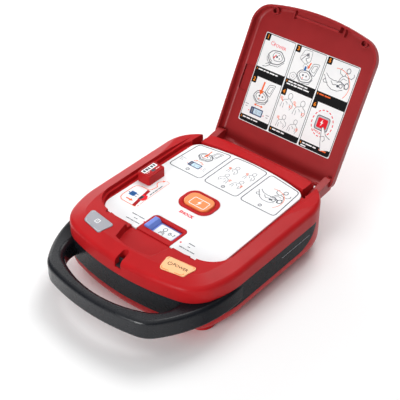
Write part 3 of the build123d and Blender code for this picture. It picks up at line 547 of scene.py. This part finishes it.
def front_words(pen):
    """The shock button's word, the slider's two dots and the rows of words beside it."""
    pen.text("red", "SHOCK", 2.2, -16.6, 6.4, 0.3)
    for x in (-26.9, 31.3):
        pen.disc("red", x, -60.3, 1.25)
    rows = (
        ((-50.5, 8, 1.6, 9), (40.4, 9)),
        ((-42.5, 2, 2.6), (42.8, 3.6)),
        ((-50.5, 5, 1.4, 3.4, 1.4, 7), (34.4, 5, 2.4, 1.4, 4, 7)),
    )
    for row, (left, right) in enumerate(rows):
        pen.words("line", left[0], -56.8 - row * 5.4, 1.15, *left[1:])
        pen.words("line", right[0], -56.2 - row * 5.4, 1.15, *right[1:])


def plug_sign(pen):
    """How to plug in the pads, beside the socket."""
    border = [(-57.5, -45.6), (-76, -45.6), (-80, -45.2), (-84, -42), (-85.6, -37),
              (-85.2, -18), (-84.4, -14), (-81.6, -11.4), (-78, -10.2), (-66, -9.8)]
    pen.line("orange", 1.0, border)
    lead = [(-66, -9.8), (-63.6, -6.8), (-62.4, -1), (-62, 2), (-65, 4.4), (-67.4, 7.6),
            (-67, 11), (-64.8, 14), (-61.8, 17.6)]
    pen.arrow("orange", 1.0, lead, 3.4)
    dashed = [(-57.5, -45.6), (-54.8, -43), (-54.6, -38)]
    dashed += [(-54.6 - 0.02 * k, -38 + k) for k in range(2, 54, 2)]
    dashed += arc_points(-58.2, 15, 3, 3.4, 0, 150, 6)
    for start, end in zip(dashed, dashed[1:]):
        stroke = (Vector(end) - Vector(start)) * 0.55
        pen.line("orange", 1.0, [start, tuple(Vector(start) + stroke)])
    # the plug with its two pins, and the arrow that pushes it in
    pen.at(-75.4, -27.8).box("blue", -5.2, -4.2, 3.2, 4.2, 1)
    pen.words("navy", -83, -29, 1.4, 2.6)
    for y in (-26.2, -30.4):
        pen.words("navy", -72, y, 0.9, 3.6)
    raised = pen.on_layer(2)
    for k in range(3):
        raised.box("navy", -79.4 + k * 2.4, -30.4, -78.2 + k * 2.4, -25.2, 0.3)
    pen.arrow("orange", 2.0, [(-77.4, -38.9), (-66.4, -38.9)], 4.6)
    # the unit's edge with its socket
    pen.area("dark_red", [(-61.8, -45.2), (-56.8, -45.2), (-62.6, -10.6), (-67.0, -10.6)])
    housing = [(-64.6, -33), (-56.4, -31.4), (-54.8, -25.4), (-58.6, -19.6), (-65.4, -21)]
    raised.area("red", soft_corners(housing, 1.6))
    mouth = [(-64.6, -31.6), (-60.8, -31), (-60.4, -23.2), (-64.8, -23.6)]
    top = pen.on_layer(3)
    top.area("line", soft_corners(mouth, 1.2))
    top.area("grey", soft_corners([(-64, -30), (-62, -29.6), (-61.8, -24.8), (-64, -25)], 0.6))
    pen.at(-57.6, -17, turn=91.5).words("line", 0, -0.6, 1.3, 4.4, 3.2, 5.6, 8.0)


def print_panel():
    sheet = Sheet("panel_print", "case", level_with("control_panel"))
    pen = Pen(sheet)
    rear_cells(pen)
    front_words(pen)
    plug_sign(pen)
    sheet.finish()


def print_button():
    sheet = Sheet("button_print", "shock_key", level_with("shock_button"))
    pen = Pen(sheet, 2.8, 7.2)
    pen.frame("white", 0.9, [(-12, -7), (12, -7), (12, 7), (-12, 7)], 2.4)
    bolt(pen, "white", 12)
    sheet.finish()


def print_cards():
    """A child's card with its ages, which shows first, and an adult's card to its left."""
    sheet = Sheet("card_print", "mode_slide", level_with("mode_cards"))
    pen = Pen(sheet)
    pen.ring("line", 0.6, -52.8, 2.6, 0.8, 2.9)
    pen.line("line", 0.8, [(-2.6, -63), (-2.2, -58.6), (0.6, -56.8), (3.4, -58.6), (3.8, -63)])
    pen.line("line", 0.8, [(-1.2, -61), (0.6, -58.8), (2.4, -61)])
    pen.ring("line", 9.6, -55.4, 1.4, 0.9, 2.1)
    pen.line("line", 0.9, [(11.9, -55.4), (13.3, -55.4)])
    pen.line("line", 0.9, [(14.3, -53.5), (16.5, -53.5), (15, -57.3)])
    pen.ring("line", -38, -52.8, 3.0, 0.45, 3.2)
    pen.line("line", 0.45, [(-43, -63), (-42, -58.2), (-38, -56.4), (-34, -58.2), (-33, -63)])
    sheet.finish()


def print_socket():
    """A white tag with bars for its words, framed in dark red."""
    sheet = Sheet("socket_print", "case", level_with("connector_label"))
    low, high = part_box("connector_label")
    middle = ((low[0] + high[0]) / 2 / MM, ((low[1] + high[1]) / 2 - PANEL_LOW[1]) / MM + PANEL_FRONT)
    tag = Pen(sheet, *middle)
    tag.box("white", -6.9, -12.2, 0.4, 12.2, 1.2)
    tag.frame("dark_red", 0.5, [(-7.4, -12.9), (7.4, -12.9), (7.4, 12.9), (-7.4, 12.9)], 1.8)
    mark = tag.on_layer(3)
    for k, length in enumerate((3.0, 3.4, 2.6, 3.2, 3.0)):
        foot = -10.6 + k * 4.5
        mark.area("line", [(-5.6, foot), (-1.2, foot), (-1.2, foot + length), (-5.6, foot + length)])
    mark.box("line", 1.6, -2.6, 5.6, 3.0, 0.8)
    for x in (2.2, 4.6):
        for y in (-9.6, 6.4):
            mark.words("line", x, y, 0.9, 0.9)
    upright = mark.at(0, 0, turn=90)
    upright.words("white", -11, -2.6, 0.8, 3, 2.4)
    upright.words("white", 4.6, -4.6, 0.8, 2.4, 3)
    sheet.finish()


# ---------------------------------------- prints that follow a sloping or upright face
def draped(node, start, way, across, along):
    """Lays a print on a node by looking for its surface from outside."""
    solid = nodes[node]
    place = solid.matrix_world
    tree = BVHTree.FromPolygons([place @ v.co for v in solid.data.vertices],
                                [list(face.vertices) for face in solid.data.polygons])

    def lay(x, y):
        origin = start + across * x * MM + along * y * MM
        return tree.ray_cast(origin, way)[:2]
    return lay


def key_sheet(name, node, body):
    """A sheet that is dropped on a key from above its middle."""
    low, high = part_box(node)
    centre = Vector(((low[0] + high[0]) / 2, (low[1] + high[1]) / 2, high[2] + 0.01))
    return Sheet(name, body, draped(node, centre, -UP, Vector((1, 0, 0)), Vector((0, 1, 0))))


def print_keys():
    """An outline and a sign on each of the two keys, which mirror each other."""
    corners = [(-17.6, 8.2), (17.6, 12.0), (13.2, -6.6), (-14.0, -11.8)]
    power = key_sheet("power_print", "power_button", "power_key")
    pen = Pen(power)
    pen.frame("orange", 0.7, corners, 3.0)
    power_sign(pen.at(-9.6, -0.6, turn=4), "brown", 2.5, 0.8)
    pen.at(4.2, 1.2, turn=4).text("brown", "POWER", 0, 0, 5.9, 0.08)
    power.finish()
    info = key_sheet("info_print", "info_button", "info_key")
    pen = Pen(info)
    pen.frame("pale", 0.6, [(-x, y) for x, y in corners], 3.0)
    pen.frame("white", 0.8, [(-2.8, -2.2), (2.8, -2.6), (3.0, 3.2), (-2.6, 3.6)], 1.0)
    pen.line("white", 0.8, [(0, -0.8), (0.1, 1.4)])
    pen.disc("white", 0.15, 2.7, 0.5)
    info.finish()


def print_belt():
    """A line of words along the right-hand side of the band."""
    low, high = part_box("carry_handle")
    start = Vector((high[0] + 0.05, 0, (low[2] + high[2]) / 2))
    lay = draped("carry_handle", start, Vector((-1, 0, 0)), Vector((0, 1, 0)), UP)
    sheet = Sheet("belt_print", "case", lay)
    Pen(sheet, -14, 2).words("grey", 0, 0, 0.9, 3, 6, 2.4, 7, 4, 5, 2, 6, 5, 7, 3)
    sheet.finish()


# ---------------------------------------- the instruction sheet inside the lid
LID_ANGLE = radians(118)
LABEL_DEPTH = 30.6 * MM      # hinge axis to the face of the sheet
LABEL_START = 44.8           # hinge axis to the sheet's lower edge, up the lid
LABEL_LEFT = -74.5
LABEL_HIGH = 124.0
COLUMN = 49.67               # width of one of the three columns
ROW_TOPS = (LABEL_HIGH - 0.9, LABEL_HIGH * (1 - 0.485))
BAND_TOPS = (LABEL_HIGH * (1 - 0.38), LABEL_HIGH * (1 - 0.925))


def lid_face():
    """Lays a print on the lid's inner face, which leans back about the hinge."""
    low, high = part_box("hinge_pins")
    hinge = (Vector(low) + Vector(high)) / 2
    out = Vector((0, -sin(LID_ANGLE), -cos(LID_ANGLE)))
    rise = Vector((0, -cos(LID_ANGLE), sin(LID_ANGLE)))
    return lambda x, y: (
        hinge - out * LABEL_DEPTH + Vector((x * MM, 0, 0)) + rise * (y + LABEL_START) * MM, out)


def lid_grid(pen):
    """Black columns with two white fields each, numbered at the field and at its caption."""
    for column in range(3):
        left = LABEL_LEFT + column * COLUMN
        pen.box("black", left + 0.9, 0.9, left + COLUMN - 0.9, LABEL_HIGH - 0.9, 3.4)
        field = pen.at(left, 0, layer=2)
        field.box("white", 1.7, BAND_TOPS[0], COLUMN - 1.7, LABEL_HIGH - 1.7, 1.6)
        field.box("white", 1.7, BAND_TOPS[1], COLUMN - 1.7, ROW_TOPS[1], 0.8)
        badge = pen.at(left, 0, layer=3)
        digits = pen.at(left, 0, layer=4)
        for row, (top, band_top) in enumerate(zip(ROW_TOPS, BAND_TOPS)):
            digit = str(column * 2 + row + 1)
            badge.box("black", 0.9, top - 9.6, 8.6, top, 1.5)
            digits.text("amber", digit, 4.8, top - 4.9, 7.4, 0.25)
            digits.text("amber", digit, 3.4, band_top - 3.3, 3.6, 0.12)
        if column:
            for side in (-0.75, 0.75):
                field.line("white", 0.45, [(side, 1.2), (side, LABEL_HIGH - 1.2)])


def start_pictures(pen):
    """1 and 2: switch on, then open it and set the slider."""
    power_sign(pen.at(15, 112.4, turn=-4), "rose", 2.6, 0.8)
    pen.at(27, 110.6, turn=-2).text("rose", "POWER", 0, 0, 5.6, 0.15)
    shut_device(pen.at(12.4, 86.2, 1.15), 0.62)
    open_device(pen.at(11, 31, 1.12), 0.62)
    pen.on_layer(5).arrow("orange", 2.6, [(22.4, 60.2), (21.2, 41.6)], 6.4)
    slider_icon(pen.at(24, 18.4))
    for way in (1, -1):
        pen.arrow("orange", 1.1, [(24, 27.2), (24 + way * 7.4, 27.2)], 3.2)
    for row, length in enumerate((5.4, 3.4)):
        pen.words("grey", 3.4 + row, 24 - row * 3.2, 0.8, length)
        pen.words("grey", 39.6 + row, 19 - row * 3.2, 0.8, length)


def pad_pictures(pen):
    """3 and 4: take out the pads and plug them in, then place them."""
    packet = soft_corners([(11, 107), (15, 120), (27, 121), (28, 108), (22, 102)], 2.6)
    pen.line("line", 0.5, packet, True)
    pen.line("line", 0.8, [(14, 106), (18, 112), (22, 117), (24, 112), (20, 109), (24, 105)])
    pen.line("line", 0.4, [(12.6, 111), (17, 114), (21, 113)])
    pen.disc("grey", 21, 114.6, 2.0)
    open_device(pen.at(14, 78.6, 1.12), 0.62)
    raised = pen.on_layer(5)
    raised.arrow("orange", 1.8, [(29.6, 106.6), (27.4, 97.4)], 3.8)
    raised.box("blue", 22.4, 94.4, 25.2, 100, 0.8)
    pen.ring("grey", 23, 99.4, 3.4, 0.4)
    bag = soft_corners([(4.6, 84), (10, 87.6), (15.4, 84), (13, 78), (6, 77.4)], 1.6)
    pen.line("line", 0.45, bag, True)
    pen.ring("grey", 9.8, 82, 2.0, 0.4)
    for x, y, pad in ((14, 47, (-8.4, 2.8)), (35, 44, (-8.6, 5.2))):
        figure(pen.at(x, y, 1.12), "grey", 0.62, pad)
        second = pen.at(x + 8, y - 4.2, layer=4)
        second.ring("orange", 0, 0, 1.8, 0.6)
        second.line("orange", 0.9, [(-0.8, -0.6), (-3, 0.6)])
    for x, pad in ((15.4, (-7.0, 5.4)), (34, (8.0, -1.4))):
        figure(pen.at(x, 19.6, 0.92), "grey", 0.7, pad)


def shock_pictures(pen):
    """5 and 6: stand clear, then a finger presses the shock button."""
    rescue(pen.at(3.0, 79.0, 1.04), 0.68)
    middle = pen.at(24.2, 39.4)
    for k in range(18):
        middle.line("red", 1.3, arc_points(0, 0, 15.6, 17.4, k * 20, k * 20 + 12, 3))
    middle.box("line", -10.4, -9.6, 10.4, 9.6, 4)
    middle.on_layer(4).box("pale", -9.4, -8.6, 9.4, 8.6, 3.4)
    for k in range(14):
        tick = arc_points(0, 0, 9.9, 9.0, k * 25.7, k * 25.7 + 3, 1)
        middle.on_layer(5).line("line", 0.5, tick)
    middle.on_layer(6).box("red", -7.6, -6.6, 7.6, 6.6, 2.2)
    bolt(middle.at(-1, 0.6, layer=7), "white", 10)
    middle.at(-3.4, -12.4, turn=-10).text("red", "SHOCK", 0, 0, 3.6, 0.1)
    hand = [(1.4, -4.6), (4.0, -3.4), (10.4, -12.6), (18, -15.4), (21, -30), (9, -34), (6, -24),
            (3.4, -14)]
    middle.on_layer(8).area("white", soft_corners(hand, 1.2))
    outline = [(18, -15.8), (10.4, -12.8), (4.0, -3.6), (1.6, -4.6), (3.6, -14), (6.2, -24), (9.6, -33)]
    edge = middle.on_layer(9)
    edge.line("line", 0.7, outline)
    edge.line("line", 0.6, [(5, -16), (9, -14.6), (11, -18.6), (8.6, -22)])


def captions(pen):
    """Bars for the words on the black bands: column, row, ink, and the word lengths of each line."""
    for column, row, ink, lines in (
            (0, 0, "white", ((7, 3.6, 4.4, 8, 4),)),
            (0, 1, "white", ((5, 6, 3, 7),)),
            (1, 0, "white", ((7, 5, 10, 5), (6, 3, 5, 8, 9))),
            (1, 1, "white", ((6, 6, 5),)),
            (2, 0, "orange", ((7, 9),)),
            (2, 1, "white", ((4, 10, 5), (8,)))):
        band = pen.at(LABEL_LEFT + column * COLUMN, BAND_TOPS[row], layer=4)
        for k, lengths in enumerate(lines):
            band.words(ink, 6.0 - 1.6 * k, -3.9 - 3.4 * k, 1.7, *lengths)
    pen.at(LABEL_LEFT + 2 * COLUMN, BAND_TOPS[1], layer=4).words("orange", 32, -3.9, 1.9, 11)


def print_lid():
    sheet = Sheet("lid_print", "lid", lid_face())
    pen = Pen(sheet)
    lid_grid(pen)
    for column, pictures in enumerate((start_pictures, pad_pictures, shock_pictures)):
        pictures(pen.at(LABEL_LEFT + column * COLUMN, 0, layer=3))
    captions(pen)
    rim = [(-74.1, 0.4), (74.1, 0.4), (74.1, LABEL_HIGH - 0.4), (-74.1, LABEL_HIGH - 0.4)]
    pen.on_layer(2).frame("white", 0.45, rim, 3.6)
    sheet.finish()


print_panel()
print_button()
print_cards()
print_socket()
print_keys()
print_belt()
print_lid()
